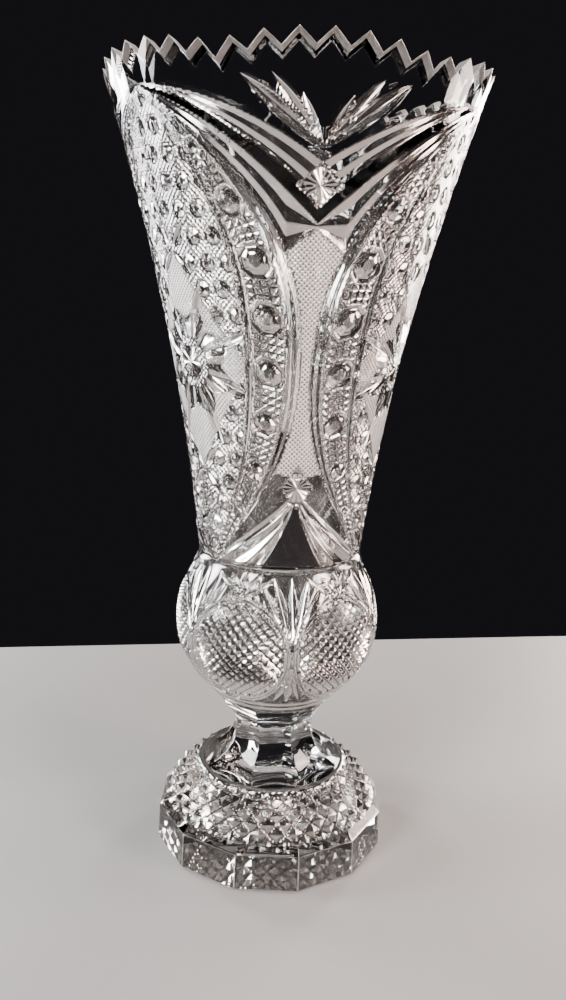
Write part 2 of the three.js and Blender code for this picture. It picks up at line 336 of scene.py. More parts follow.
def lay_skin(name, radius, height, azimuth, ends, sharp, marks):
    """A closed skin on a grid of rows and columns round the axis: a point is radius outwards along
    its azimuth and height up. With ends "ring" the last row joins the first, and with "poles" a
    point on the axis closes the first row and another the last. sharp picks the quads shaded flat,
    and marks are named numbers kept at every point for the material."""
    rows, columns = radius.shape
    a = np.radians(np.broadcast_to(azimuth, radius.shape))
    grid = np.stack([radius * np.sin(a), -radius * np.cos(a), height + 0 * radius], axis=-1) * MM
    points = grid.reshape(-1, 3)
    index = np.arange(rows * columns).reshape(rows, columns)
    below = index if ends == "ring" else index[:-1]
    above = np.roll(index, -1, axis=0) if ends == "ring" else index[1:]
    quads = np.stack([below, np.roll(below, -1, 1), np.roll(above, -1, 1), above], axis=-1)
    corners = quads.reshape(-1)
    starts = np.arange(quads.shape[0] * columns) * 4
    smooth = ~sharp[: quads.shape[0]].reshape(-1)
    if ends == "poles":
        first = np.append(points[0:columns].mean(axis=0)[2], points[-columns:].mean(axis=0)[2])
        poles = np.stack([np.zeros(2), np.zeros(2), first], axis=-1)
        points = np.concatenate([points, poles])
        under = np.stack([0 * index[0] + rows * columns, np.roll(index[0], -1), index[0]], axis=-1)
        last = 0 * index[0] + rows * columns + 1
        over = np.stack([last, index[-1], np.roll(index[-1], -1)], axis=-1)
        fans = np.concatenate([under, over])
        starts = np.concatenate([starts, corners.size + 3 * np.arange(len(fans))])
        corners = np.concatenate([corners, fans.reshape(-1)])
        smooth = np.concatenate([smooth, np.zeros(len(fans), bool)])
    mesh = bpy.data.meshes.new(name)
    mesh.vertices.add(len(points))
    mesh.vertices.foreach_set("co", points.reshape(-1).astype(np.float32))
    mesh.loops.add(corners.size)
    mesh.loops.foreach_set("vertex_index", corners.astype(np.int32))
    mesh.polygons.add(starts.size)
    mesh.polygons.foreach_set("loop_start", starts.astype(np.int32))
    mesh.polygons.foreach_set("use_smooth", smooth)
    mesh.update(calc_edges=True)
    for mark, values in marks.items():
        layer = mesh.attributes.new(mark, "FLOAT", "POINT")
        filled = np.zeros(len(points), np.float32)
        filled[: rows * columns] = np.broadcast_to(values, radius.shape).reshape(-1)
        layer.data.foreach_set("value", filled)
    piece = bpy.data.objects.new(name, mesh)
    bpy.context.scene.collection.objects.link(piece)
    return piece


class Value:
    """A number flowing between shader nodes, written with ordinary arithmetic."""

    def __init__(self, tree, socket=None):
        self.tree = tree
        self.socket = socket

    def node(self, kind, settings=(), **inputs):
        """One node of a kind, with its settings made first and then its sockets filled. A socket
        is named by its label, or by i and its number."""
        made = self.tree.nodes.new(kind)
        for key, setting in dict(settings).items():
            setattr(made, key, setting)
        for key, value in inputs.items():
            numbered = key[0] == "i" and key[1:].isdigit()
            slot = made.inputs[int(key[1:]) if numbered else key.replace("_", " ")]
            if isinstance(value, Value):
                self.tree.links.new(value.socket, slot)
            elif isinstance(value, bpy.types.NodeSocket):
                self.tree.links.new(value, slot)
            else:
                slot.default_value = value
        return made

    def math(self, operation, a, b=0.0, c=0.0):
        """One sum of up to three numbers."""
        made = self.node("ShaderNodeMath", {"operation": operation}, i0=a, i1=b, i2=c)
        return Value(self.tree, made.outputs[0])

    def mark(self, name):
        """A number kept at the points of the mesh."""
        made = self.node("ShaderNodeAttribute", {"attribute_name": name})
        return Value(self.tree, made.outputs["Fac"])

    def __add__(self, other):
        return self.math("ADD", self, other)

    def __sub__(self, other):
        return self.math("SUBTRACT", self, other)

    def __rsub__(self, other):
        return self.math("SUBTRACT", other, self)

    def __mul__(self, other):
        return self.math("MULTIPLY", self, other)

    def __truediv__(self, other):
        return self.math("DIVIDE", self, other)

    def __rtruediv__(self, other):
        return self.math("DIVIDE", other, self)

    __radd__ = __add__
    __rmul__ = __mul__

    def larger(self, other):
        """The larger of this and another number."""
        return self.math("MAXIMUM", self, other)

    def size_only(self):
        """The number without its sign."""
        return self.math("ABSOLUTE", self)

    def zigzag(self):
        """0 on whole numbers and 1 halfway between them."""
        return self.math("PINGPONG", self, 0.5) * 2.0

    def offset(self):
        """How far past the nearest whole number, from -0.5 to 0.5."""
        return self.math("WRAP", self, 0.5, -0.5)

    def rise(self, low, high):
        """A straight rise from 0 at low to 1 at high, level beyond both."""
        made = self.node("ShaderNodeMapRange", i0=self, i1=low, i2=high)
        return Value(self.tree, made.outputs[0])


def start_material(name):
    """An empty node material, with a first value to make its nodes from."""
    material = bpy.data.materials.new(name)
    material.use_nodes = True
    material.node_tree.nodes.clear()
    return material, Value(material.node_tree)


def octagon(x, y):
    """Distance from the origin measured square to the nearest side of an eight-sided figure."""
    x = x.size_only()
    y = y.size_only()
    return x.larger(y).larger((x + y) * 0.7071)


def leaf_edge(start):
    """How far inside a leaf cut, in mm, worked out exactly across the leaf from its marks."""
    inner = start.mark("leaf_half") - start.mark("leaf_across").size_only()
    near = start.mark("leaf").rise(-0.6, -0.4)
    return inner * near - (1 - near)


def net(u, v):
    """Crossed lines: 1 along whole numbers of either count, falling straight to 0 between."""
    return (1 - u.zigzag()).larger(1 - v.zigzag())


def shaded(start, factor, light, painted_shade):
    """A colour for a socket: the light colour where factor is 0 and the painted shade colour where
    it is 1, or plainly the light colour where there is no factor."""
    if factor is None:
        return (*light, 1)
    blend = start.node(
        "ShaderNodeMix", {"data_type": "RGBA"}, Factor=factor, i6=(*light, 1), i7=(*painted_shade, 1)
    )
    return blend.outputs[2]


def finish_crystal(start, relief, silver, silver_tint, painted_cut_shade=None, painted_shade=None, dull=0.0):
    """Colourless lead crystal: clear glass, and a share of bright facets that throw light back as
    the far faces of a cut do. relief is in mm and dull is matt. Painted shade: one factor darkens
    the bottoms of cuts, and another darkens plain glass between cuts so that it lets less through."""
    place = start.node("ShaderNodeTexCoord").outputs["Object"]
    haze = start.node("ShaderNodeTexNoise", Vector=place, Scale=60.0, Detail=3.0, Roughness=0.6)
    haze = Value(start.tree, haze.outputs["Fac"])
    bump = start.node("ShaderNodeBump", Strength=1.0, Distance=0.001, Height=relief)
    # painted shade: the glass turns nearly black where the plain-glass shade factor is 1
    glass = start.node(
        "ShaderNodeBsdfPrincipled",
        Base_Color=shaded(start, painted_shade, (0.985, 0.99, 0.99), (0.03, 0.028, 0.03)),
        Roughness=haze * 0.012 + (dull * 0.12 + 0.006),
        IOR=1.54,
        Transmission_Weight=1.0,
        Normal=bump.outputs[0],
    )
    # painted shade: the bright facets turn nearly black in the bottoms of cuts
    facets = start.node(
        "ShaderNodeBsdfPrincipled",
        Base_Color=shaded(start, painted_cut_shade, silver_tint, (0.05, 0.045, 0.05)),
        Roughness=haze * 0.1 + (dull * 0.4 + 0.1),
        Metallic=1.0,
        Normal=bump.outputs[0],
    )
    blend = start.node("ShaderNodeMixShader", i0=silver, i1=glass.outputs[0], i2=facets.outputs[0])
    output = start.node("ShaderNodeOutputMaterial")
    start.tree.links.new(blend.outputs[0], output.inputs["Surface"])


def cut_bowl_crystal():
    """The bowl's crystal, with every fine cut worked out from the marks on its mesh."""
    material, start = start_material("cut_bowl_crystal")
    fold = start.mark("fold")
    span = start.mark("span")
    hatch = start.mark("hatch")
    band = start.mark("band")
    small = start.mark("small")
    star = start.mark("star")
    x = start.mark("place_x")
    y = start.mark("place_y")
    size = start.mark("size")

    # long V cuts, bright on their sides, with a seam of painted shade along each edge, and painted
    # shade darkening the plain glass between the two chevrons
    valley = fold.zigzag()
    long_cuts = span * valley * 0.8
    seam_shade = (1 - valley * 5).rise(0, 1) * span.rise(0.1, 0.3)
    low_band = fold.rise(2.02, 2.1) - fold.rise(3.9, 3.97)
    bands = low_band + fold.rise(4.03, 4.1) - fold.rise(5.9, 5.97)
    gap = fold.rise(3.9, 3.97) - fold.rise(4.03, 4.1)

    # leaf cuts, brightest along their edges and ringed by a thin line of painted shade
    cut = leaf_edge(start)
    in_leaf = cut.rise(0, 0.1)
    leaf_line = in_leaf - cut.rise(0.3, 0.4)
    leaf_ring_shade = cut.rise(-0.35, -0.25) - in_leaf
    leaf_cuts = cut.larger(0.0) * 0.5

    # fine hatching: rows of small points, with painted shade in a pit at each crossing
    lines = net(start.mark("hatch_u"), start.mark("hatch_v"))
    crossing = (1 - start.mark("hatch_u").zigzag()) + (1 - start.mark("hatch_v").zigzag())
    hatching = lines * hatch * 0.3
    pit_shade = crossing.rise(1.15, 1.5) * hatch

    # a button: flat table, bevel down to a ring, and crossed lines beyond it
    along = y.offset() * button_pitch
    reach = octagon(x, along) / size
    ring = reach.rise(0.45, 1.0) - reach.rise(1.0, 1.35)
    beyond = reach.rise(1.3, 1.4)
    crossed = net((x + along) / 2.7, (x - along) / 2.7).larger(net(x / 2.7, along / 2.7))
    buttons = (ring * 0.9 + beyond * crossed * 0.5) * band
    table = (1 - reach.rise(0.42, 0.5)) * band
    rim_line = reach.rise(0.93, 1.0) - reach.rise(1.02, 1.12)
    # painted shade in the crossed cuts beyond the button and along its rim
    button_shade = (crossed.rise(0.72, 0.95) * beyond + rim_line) * band

    # small buttons in staggered rows
    by = y.offset() * small_rise
    bx = x.offset() * small_step + y.offset() * (small_step / 2)
    close = octagon(bx, by) / small_radius
    small_ring = close.rise(0.4, 1.0) - close.rise(1.0, 1.4)
    small_beyond = close.rise(1.2, 1.3)
    small_net = net((bx + by) / 2.15, (bx - by) / 2.15)
    smalls = (small_ring * 0.8 + small_beyond * small_net * 0.4) * small
    small_table = (1 - close.rise(0.4, 0.5)) * small
    small_line = close.rise(0.9, 1.0) - close.rise(1.05, 1.2)
    # painted shade in the small buttons' crossed cuts and along their rims
    small_button_shade = (small_net.rise(0.7, 0.95) * small_beyond + small_line) * small

    # stars: sixteen facets round a raised point, with painted shade in the valleys between them
    turns = start.math("ARCTAN2", x, y) * (8 / math.pi)
    out = start.math("SQRT", x * x + y * y)
    ray = turns.zigzag()
    girdle = octagon(x, y) / 9
    on_girdle = girdle.rise(0.62, 0.66) - girdle.rise(0.96, 1.0)
    ringed = net((x + y) / 1.9, (x - y) / 1.9) * on_girdle
    spread = out.rise(0, 14) * 1.3
    rays = ((1 - ray) * spread * (1 - on_girdle) + ringed * 0.35) * star
    inner_edge = girdle.rise(0.56, 0.62) - girdle.rise(0.66, 0.72)
    outer_edge = girdle.rise(0.9, 0.96) - girdle.rise(1.0, 1.06)
    star_shade = (1 - ray * 3).rise(0, 1) * (1 - on_girdle) * out.rise(1, 3)
    star_shade = star_shade.larger(ringed.rise(0.7, 0.9)).larger(inner_edge + outer_edge)
    star_shade = star_shade * star * 0.85

    relief = -1 * ((long_cuts + hatching + buttons + smalls + rays) * (1 - in_leaf) + leaf_cuts)
    # painted shade in the bottoms of the cuts, kept off the leaves
    painted_cut_shade = (seam_shade * 0.8).larger(pit_shade * 0.9).larger(button_shade * 0.85)
    painted_cut_shade = painted_cut_shade.larger(small_button_shade * 0.7).larger(star_shade).larger(leaf_ring_shade * 0.9) * (1 - in_leaf)
    silver = start.mark("silver") * (1 - table * 0.85) * (1 - small_table * 0.8)
    silver = silver.larger(bands * (1 - start.mark("clear")) * 0.64) * (1 - in_leaf)
    silver = silver + in_leaf * 0.42 + leaf_line * 0.45
    # painted shade darkening the plain glass below the crescents and between the two chevrons
    painted_shade = start.mark("clear").larger(gap) * (1 - in_leaf)
    finish_crystal(start, relief, silver, (0.98, 0.935, 0.91), painted_cut_shade, painted_shade, start.mark("dull"))
    return material


bowl_azimuth = np.arange(bowl_columns) * 360 / bowl_columns
level = np.linspace(bowl_bottom, bowl_top - 0.25, bowl_outside_rows - 1)
level = np.append(level, bowl_top)[:, None]
drop = rim_drop(bowl_azimuth)[None, :]
outside_z = level - drop * ramp(level, bowl_top - rim_blend, bowl_top)
marks = bowl_cuts(np.broadcast_to(bowl_azimuth, outside_z.shape), outside_z)
outside_r = bowl_radius(outside_z) - marks.pop("depth")
inner_level = np.linspace(bowl_top - 0.25, bowl_bottom, bowl_inside_rows - 1)
inner_level = np.append(bowl_top, inner_level)[:, None]
inside_z = inner_level - (drop + rim_bevel) * ramp(inner_level, bowl_top - rim_blend, bowl_top)
inside_r = bowl_radius(inside_z) - bowl_wall
crest_z = outside_z[-1:] - np.array([[1.1], [1.13]])
crest_r = bowl_radius(crest_z) - bowl_wall * np.array([[0.55], [0.56]])
inside_z = np.concatenate([crest_z, inside_z])
inside_r = np.concatenate([crest_r, inside_r])
plain = np.zeros_like(inside_z)
marks["silver"][-1] = 0.95
marks["dull"][-1] = 1.0
sharp = np.zeros((bowl_outside_rows + bowl_inside_rows + 2, bowl_columns), bool)
sharp[bowl_outside_rows - 1 : bowl_outside_rows + 2] = True
sharp[-1] = True

flared_bowl = lay_skin(
    "cut_flared_bowl",
    np.concatenate([outside_r, inside_r]),
    np.concatenate([outside_z, inside_z]),
    bowl_azimuth,
    "ring",
    sharp,
    {
        name: np.concatenate([values, values[-1:], plain[1:]]) if name in ("silver", "dull")
        else np.concatenate([values, plain - 2 * (name == "leaf")])
        for name, values in marks.items()
    },
)
flared_bowl.data.materials.append(cut_bowl_crystal())
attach(flared_bowl, "root")
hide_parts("flared_bowl")

# ---- Bulb ----
# The hollow ball under the bowl, of the same crystal, blown thick with a solid floor.
# Six ovals of raised diamonds touch round its widest line, with fans above and below between them,
# and plain rings are turned where it draws in to the collar.

bulb_low, bulb_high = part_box("bulb")
bulb_bottom = bulb_low[2] / MM
bulb_top = bulb_high[2] / MM
bulb_radius = 41.7
bulb_wall = 7.0
bulb_columns = 360
bulb_diamond = 6.0


def bend(points, count):
    """A cubic Bezier curve through the first and last of four (radius, height) points, pulled
    towards the middle two, at count even steps of its parameter."""
    s = np.linspace(0, 1, count)[:, None]
    p = np.asarray(points, float)
    r = 1 - s
    return r**3 * p[0] + 3 * r**2 * s * p[1] + 3 * r * s**2 * p[2] + s**3 * p[3]


def diamond_rows(path, degrees, per_diamond, zero_height):
    """The same path cut into rows that suit diamonds: the count of diamonds climbs by the length
    along the path over the width of one at its radius, and is 0 at zero_height. Gives the points
    and their counts, with the path's own two ends kept."""
    steps = np.hypot(*np.diff(path, axis=0).T)
    middles = 0.5 * (path[1:, 0] + path[:-1, 0])
    count = np.concatenate([[0], np.cumsum(steps / (middles * math.radians(degrees)))])
    count -= np.interp(zero_height, path[:, 1], count)
    inner = np.arange(math.ceil(count[0] * per_diamond), math.floor(count[-1] * per_diamond) + 1)
    inner = inner / per_diamond
    inner = inner[(inner > count[0] + 0.05) & (inner < count[-1] - 0.05)]
    rows = np.concatenate([[count[0]], inner, [count[-1]]])
    cut_path = [np.interp(rows, count, path[:, 0]), np.interp(rows, count, path[:, 1])]
    return np.stack(cut_path, -1), rows


def bulb_cuts(azimuth, z, radius, count):
    """The cutting on the bulb, as named numbers at every point, from azimuth, height, radius and
    the count of diamonds up its side.

    e is 1 on the edge of an oval 57 degrees wide and 43 mm high, whose middle is 30 degrees from
    the fans. Diamonds inside it are two crossed zigzags on azimuth plus and minus the count.
    """
    per_degree = radius * math.pi / 180
    zero = np.zeros_like(z)
    to_oval = azimuth % 60 - 30
    x = to_oval * per_degree
    to_fan = (azimuth + 30) % 60 - 30
    e = np.hypot(to_oval / 28.5, (z - 94.5) / 21.5)
    inside = e < 0.91
    a = to_oval / bulb_diamond
    lines = np.maximum(1 - wave(a + count), 1 - wave(a - count))
    depth = np.where(inside, -0.2 + 1.5 * lines, 0.0)
    silver = np.where(inside, 0.64, 0.12)
    pair = between(e, 0.91, 1.03) > 0
    fold = np.where(pair, (e - 0.91) / 0.06, np.where(inside, 0.0, 2.0))
    span = np.where(pair, 0.7, 0.0)
    xf = to_fan * per_degree
    leaves = [zero - 2, zero, zero - 2]
    for low_z, tips in (
        (97.5, ((0, 124.5, 1.9), (6.5, 124.5, 1.8), (12.5, 123.5, 1.7), (18, 121.5, 1.5))),
        (91.5, ((0, 73.0, 1.6), (5, 73.8, 1.5), (9.5, 75, 1.4), (14, 77, 1.2))),
    ):
        for tip, tip_z, half in tips:
            leaves = add_leaf(leaves, leaf(np.abs(xf), z - low_z, tip, tip_z - low_z, half))
    for tip, half in ((0, 1.6), (6, 1.5), (11.5, 1.2)):
        leaves = add_leaf(leaves, leaf(np.abs(x), z - 116, tip, 9.2 - 0.12 * tip, half))
    leaves[0] = np.minimum(leaves[0], 20 * (e - 1.05))
    leaf_depth = trough(leaves)
    for ring_z in (71.2, 68.2):
        here = (np.abs(z - ring_z) < 1.4) & (e >= 1.03)
        fold = np.where(here, 2.5 - 0.5 * np.abs(z - ring_z) / 1.4, fold)
        span = np.where(here, 0.7, span)
    silver = np.where(span > 0.1, 0.6, silver)
    depth = np.where(inside, depth, np.maximum(0.5 * span * wave(fold), leaf_depth))
    depth = np.maximum(depth, np.clip(0.7 * (z - 125.3), 0, 1.0))
    mask = inside.astype(float)
    net_u = np.broadcast_to(azimuth / bulb_diamond + count, z.shape)
    net_v = np.broadcast_to(azimuth / bulb_diamond - count, z.shape)
    return {
        "depth": depth,
        "silver": silver,
        "fold": fold,
        "span": span,
        "leaf": np.maximum(leaves[0], -2),
        "leaf_across": leaves[1],
        "leaf_half": leaves[2],
        "net": mask,
        "net_u": net_u,
        "net_v": net_v,
    }


def cut_diamond_crystal(name, silver_tint):
    """Crystal with raised diamonds: their sides are in the mesh, and the bottoms of the crossed
    cuts between them get seams of painted shade. Long V cuts are folded in as on the bowl."""
    material, start = start_material(name)
    fold = start.mark("fold")
    span = start.mark("span")
    net_mark = start.mark("net")
    valley = fold.zigzag()
    seam_shade = (1 - valley * 4).rise(0, 1) * span.rise(0.1, 0.3)
    cross = net(start.mark("net_u"), start.mark("net_v"))
    diamond_pit_shade = cross.rise(0.82, 0.98) * net_mark
    peak = (1 - cross).rise(0.72, 0.9) * net_mark
    cut = leaf_edge(start)
    in_leaf = cut.rise(0, 0.1)
    leaf_line = in_leaf - cut.rise(0.25, 0.35)
    relief = -0.8 * (span * valley * (1 - in_leaf) + cut.larger(0.0) * 0.65)
    # painted shade along the long cuts' edges and in the pits between the diamonds
    painted_cut_shade = (seam_shade * 0.8).larger(diamond_pit_shade * 0.78) * (1 - in_leaf)
    silver = (start.mark("silver") + peak * 0.3) * (1 - in_leaf) + in_leaf * 0.5 + leaf_line * 0.35
    finish_crystal(start, relief, silver, silver_tint, painted_cut_shade=painted_cut_shade, dull=net_mark * 0.1)
    return material


lower_half = [(23.6, bulb_bottom), (34.5, 76.5), (bulb_radius, 83), (bulb_radius, 97)]
upper_half = [(bulb_radius, 97), (bulb_radius, 112.6), (34, 119), (waist_radius, bulb_top)]
bulb_outline = np.concatenate([bend(lower_half, 200), bend(upper_half, 200)[1:]])
bulb_path, bulb_count = diamond_rows(bulb_outline, bulb_diamond, 6, 94.5)
inner_width = bulb_radius - bulb_wall
bulb_inside = np.concatenate(
    [
        bend([(26.1, bulb_top), (26.1, 115), (inner_width, 114), (inner_width, 97)], 16),
        bend([(inner_width, 97), (inner_width, 85), (20, 76), (1.5, 76)], 20)[1:],
    ]
)
bulb_base = np.array([(6.0, bulb_bottom), (23.2, bulb_bottom)])
bulb_azimuth = np.arange(bulb_columns) * 360 / bulb_columns
bulb_r = np.repeat(bulb_path[:, 0:1], bulb_columns, axis=1)
bulb_z = np.repeat(bulb_path[:, 1:2], bulb_columns, axis=1)
bulb_angle = np.broadcast_to(bulb_azimuth, bulb_r.shape)
bulb_marks = bulb_cuts(bulb_angle, bulb_z, bulb_r, bulb_count[:, None])
bulb_cut = bulb_marks.pop("depth")
bulb_step = np.hypot(np.gradient(bulb_path[:, 0]), np.gradient(bulb_path[:, 1]))
bulb_rise = np.gradient(bulb_path[:, 1]) / bulb_step
bulb_lean = np.gradient(bulb_path[:, 0]) / bulb_step
from_end = np.minimum(bulb_path[:, 1] - bulb_bottom, bulb_top - bulb_path[:, 1])
bulb_ease = ramp(from_end, 0, 4)[:, None]
cut_r = bulb_r - bulb_cut * bulb_rise[:, None]
cut_z = bulb_z + bulb_cut * bulb_lean[:, None] * bulb_ease
ones = np.ones((1, bulb_columns))
before = len(bulb_base)
beyond = before + len(bulb_path)
bulb_rows_r = np.concatenate([bulb_base[:, 0:1] * ones, cut_r, bulb_inside[:, 0:1] * ones])
bulb_rows_z = np.concatenate([bulb_base[:, 1:2] * ones, cut_z, bulb_inside[:, 1:2] * ones])
bulb_sharp = np.zeros(bulb_rows_r.shape, bool)
bulb_near = np.maximum(bulb_marks["net"], np.roll(bulb_marks["net"], -1, axis=1))
bulb_sharp[before:beyond] = np.maximum(bulb_near, np.roll(bulb_near, -1, axis=0)) > 0.5
bulb_sharp[:before] = True
bulb_sharp[beyond - 1] = True
bulb_all = {}
for name, values in bulb_marks.items():
    bulb_all[name] = np.full_like(bulb_rows_r, -2.0 if name == "leaf" else 0.0)
    bulb_all[name][before:beyond] = values

bulb = lay_skin("cut_bulb", bulb_rows_r, bulb_rows_z, bulb_azimuth, "poles", bulb_sharp, bulb_all)
bulb.data.materials.append(cut_diamond_crystal("cut_bulb_crystal", (0.985, 0.965, 0.95)))
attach(bulb, "root")
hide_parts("bulb")

# ---- Collar ----
# A small eight-sided disc of solid crystal between bulb and stem, ground flat on its sides.
# Each side runs on into one flute of the stem below.

collar_low, collar_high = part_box("collar")
collar_bottom = collar_low[2] / MM
collar_top = collar_high[2] / MM
collar_columns = 240
stem_turn = -4.0


def eight_sided(azimuth, corner_radius):
    """Radius of an octagon turned by stem_turn: the corner radius times the cosine of 22.5 degrees
    over the cosine of the angle from the nearest side's middle."""
    from_side = (azimuth - stem_turn + 22.5) % 45 - 22.5
    return corner_radius * math.cos(math.pi / 8) / np.cos(np.radians(from_side))


collar_profile = np.array(
    [
        (5.0, collar_bottom),
        (18.4, collar_bottom),
        (18.9, collar_bottom + 0.5),
        (20.0, collar_bottom + 2.0),
        (21.3, collar_bottom + 3.4),
        (22.6, collar_bottom + 5.2),
        (23.3, collar_top - 0.4),
        (22.9, collar_top),
        (6.0, collar_top),
    ]
)
collar_azimuth = np.arange(collar_columns) * 360 / collar_columns + stem_turn
collar_r = eight_sided(collar_azimuth[None, :], collar_profile[:, 0:1])
collar_z = np.repeat(collar_profile[:, 1:2], collar_columns, axis=1)
collar = lay_skin(
    "collar_disc", collar_r, collar_z, collar_azimuth, "poles", np.ones(collar_r.shape, bool), {}
)


def polished_crystal(name):
    """Crystal ground and polished smooth, with only the faint unevenness of the wheel."""
    material, start = start_material(name)
    place = start.node("ShaderNodeTexCoord").outputs["Object"]
    wheel = start.node("ShaderNodeTexNoise", Vector=place, Scale=140.0, Detail=2.0)
    wheel = Value(start.tree, wheel.outputs["Fac"])
    finish_crystal(start, wheel * 0.03, 0.03, (0.98, 0.96, 0.95))
    return material


collar.data.materials.append(polished_crystal("polished_collar_crystal"))
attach(collar, "root")
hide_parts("collar")

# ---- Stem ----
# A short waisted stem of solid crystal, with eight hollow flutes ground down its length that leave
# sharp ridges between them and spread out over the foot.

stem_low, stem_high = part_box("stem")
stem_bottom = stem_low[2] / MM
stem_top = stem_high[2] / MM
stem_columns = 360
stem_rows = 64


def flute(azimuth, level):
    """Depth of the eight flutes: the cosine of four times the angle from a flute's middle, times
    2.3 mm, fading over the last 3 mm at either end."""
    from_middle = (azimuth - stem_turn + 22.5) % 45 - 22.5
    share = ramp(level, stem_bottom, stem_bottom + 3) * ramp(-level, -stem_top, 3 - stem_top)
    return 2.3 * share * np.cos(np.radians(4 * from_middle))


stem_side = bend([(29.3, stem_bottom), (17, 40.5), (15.2, 48), (18.3, stem_top)], stem_rows)
stem_path = np.concatenate([[(8.0, stem_bottom)], stem_side, [(8.0, stem_top)]])
stem_azimuth = np.arange(stem_columns) * 360 / stem_columns + stem_turn + 0.5
stem_z = np.repeat(stem_path[:, 1:2], stem_columns, axis=1)
stem_r = stem_path[:, 0:1] - flute(stem_azimuth[None, :], stem_z) * (stem_path[:, 0:1] > 9)
stem_sharp = np.zeros(stem_r.shape, bool)
stem_sharp[:2] = True
stem_sharp[-3:] = True
stem = lay_skin("fluted_stem", stem_r, stem_z, stem_azimuth, "poles", stem_sharp, {})
stem.data.materials.append(polished_crystal("polished_stem_crystal"))
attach(stem, "root")
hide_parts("stem")

# ---- Foot ----
# A heavy solid foot: twelve upright polished facets with a bevel above, then a dome cut into
# raised diamonds, thirty-six to the round. Its underside is ground and polished flat.

foot_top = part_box("foot")[1][2] / MM
foot_columns = 720
foot_turn = -9.0
foot_wall_top = 15.5
foot_shoulder = 18.6


def twelve_sided(azimuth, corner_radius):
    """Radius of a regular twelve-sided outline turned by foot_turn: the corner radius times the
    cosine of 15 degrees over the cosine of the angle from the nearest facet's middle."""
    from_facet = (azimuth - foot_turn + 15) % 30 - 15
    return corner_radius * math.cos(math.pi / 12) / np.cos(np.radians(from_facet))


def dome_diamonds(azimuth, count):
    """Depth of crossed V cuts that leave four-sided points: two zigzags on azimuth over 10 degrees
    plus and minus the count of diamonds up the dome."""
    a = (azimuth - foot_turn) / 10
    lines = np.maximum(1 - wave(a + count), 1 - wave(a - count))
    return 0.1 + 1.8 * lines


foot_azimuth = np.arange(foot_columns) * 360 / foot_columns + foot_turn
faceted = np.array(
    [
        (5.0, 0.0),
        (47.4, 0.0),
        (47.6, 0.0),
        (48.5, 0.9),
        (48.5, 1.1),
        (48.05, foot_wall_top - 0.2),
        (48.0, foot_wall_top),
        (47.7, foot_wall_top + 0.3),
        (45.2, foot_shoulder),
    ]
)
dome_outline = bend([(44.6, foot_shoulder + 0.1), (42.8, 25), (37.6, 31), (30.6, foot_top)], 200)
dome, dome_count = diamond_rows(dome_outline, 10, 8, 22.4)
foot_cap = np.array([(30.0, foot_top), (8.0, foot_top)])
foot_path = np.concatenate([faceted, dome, foot_cap])
foot_r = np.repeat(foot_path[:, 0:1], foot_columns, axis=1)
foot_z = np.repeat(foot_path[:, 1:2], foot_columns, axis=1)
foot_r[: len(faceted)] = twelve_sided(foot_azimuth[None, :], faceted[:, 0:1])
dome_rows = slice(len(faceted), len(faceted) + len(dome))
dome_depth = dome_diamonds(foot_azimuth[None, :], dome_count[:, None])
dome_height = dome[:, 1:2]
dome_depth *= ramp(dome_height, foot_shoulder, foot_shoulder + 1.2)
dome_depth *= ramp(-dome_height, -foot_top + 0.3, -foot_top + 1.2)
dome_step = np.hypot(np.gradient(dome[:, 0]), np.gradient(dome[:, 1]))
foot_r[dome_rows] -= dome_depth * (np.gradient(dome[:, 1]) / dome_step)[:, None]
foot_z[dome_rows] += dome_depth * (np.gradient(dome[:, 0]) / dome_step)[:, None]
foot_sharp = np.ones(foot_r.shape, bool)
foot_marks = {name: np.zeros_like(foot_r) for name in ("net", "net_u", "net_v", "silver")}
foot_marks["leaf"] = np.full_like(foot_r, -2.0)
foot_marks["net"][dome_rows] = 1.0
foot_marks["silver"][dome_rows] = 0.4
foot_marks["silver"][[2, 3, 6]] = 0.6
from_corner = np.abs((foot_azimuth - foot_turn) % 30 - 15)
foot_marks["silver"][3:8, from_corner < 0.3] = 0.6
foot_marks["net_u"][dome_rows] = (foot_azimuth[None, :] - foot_turn) / 10 + dome_count[:, None]
foot_marks["net_v"][dome_rows] = (foot_azimuth[None, :] - foot_turn) / 10 - dome_count[:, None]

foot = lay_skin("faceted_foot", foot_r, foot_z, foot_azimuth, "poles", foot_sharp, foot_marks)
foot.data.materials.append(cut_diamond_crystal("cut_foot_crystal", (0.985, 0.955, 0.93)))
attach(foot, "root")
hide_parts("foot")

# ---- Table top ----
# A plain pale table top with rounded corners, wide enough to carry the vase and its reflections.
# It is set a hair under the foot so that the two do not share a face.

table_half = np.array([0.60, 0.34])
table_drop = 0.0002


def rounded_outline(count, half, power):
    """A closed outline between an ellipse and a rectangle: each coordinate is its half size times
    the sine or cosine raised to 2 over power, with its sign kept."""
    turn = np.linspace(0, 2 * np.pi, count, endpoint=False)
    c = np.cos(turn)
    s = np.sin(turn)
    x = half[0] * np.sign(c) * np.abs(c) ** (2 / power)
    y = half[1] * np.sign(s) * np.abs(s) ** (2 / power)
    return np.stack([x, y], axis=-1)


around = 160
outline = rounded_outline(around, table_half, 6)
shift = np.array([0.0, -0.13])
layers = [(1.0, -0.03), (1.0, -0.002), (0.998, -table_drop)]
table_points = np.concatenate(
    [np.column_stack([outline * s + shift, np.full(around, z)]) for s, z in layers]
)
ring = np.arange(around)
after = np.roll(ring, -1)
side = np.stack([ring, after, after + around, ring + around], axis=-1)
table_faces = np.concatenate([side, side + around]).tolist()
table_faces += [(ring + 2 * around).tolist(), ring[::-1].tolist()]
table_mesh = bpy.data.meshes.new("table_top")
table_mesh.from_pydata(table_points.tolist(), [], table_faces)
table_mesh.update()
table_top = bpy.data.objects.new("table_top", table_mesh)
bpy.context.scene.collection.objects.link(table_top)


